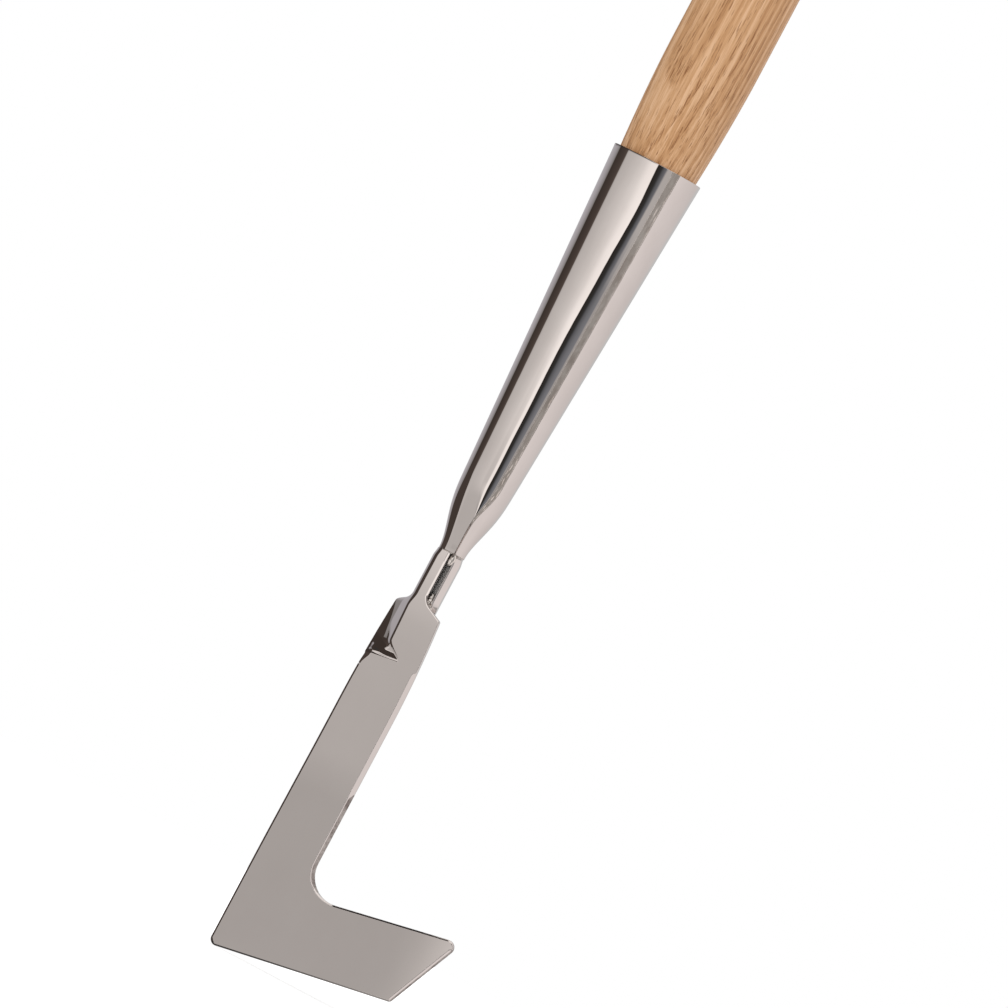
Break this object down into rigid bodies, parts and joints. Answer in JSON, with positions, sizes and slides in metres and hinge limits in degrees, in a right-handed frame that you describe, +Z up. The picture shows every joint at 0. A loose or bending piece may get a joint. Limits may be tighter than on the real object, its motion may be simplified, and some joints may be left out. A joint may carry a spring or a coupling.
{
  "type": "patio weeder",
  "caption": "Long-handled patio weeder: L-shaped stainless blade on a channel stem, welded to a rolled conical socket on a turned ash shaft.",
  "frame": {"origin": "at the height of the blade's heel, its lowest point, under the middle of the tool's box", "axes": "+Z up the shaft's axis, +X the way the blade's foot points, -Y the way the blade's face looks"},
  "size_m": [0.08, 0.0339, 1.4987],
  "materials": {
    "polished_steel": "mirror-polished stainless steel",
    "ground_weld": "weld bead ground and polished",
    "oiled_ash": "oiled",
    "screw_steel": "plain stainless steel"
  },
  "bodies": {
    "root": {"handle": "oiled_ash", "socket": "polished_steel", "seam_weld": "ground_weld", "blade": "polished_steel", "neck_weld": "ground_weld", "slot_weld": "ground_weld", "fixing_screw": "screw_steel"}
  },
  "joints": []
}
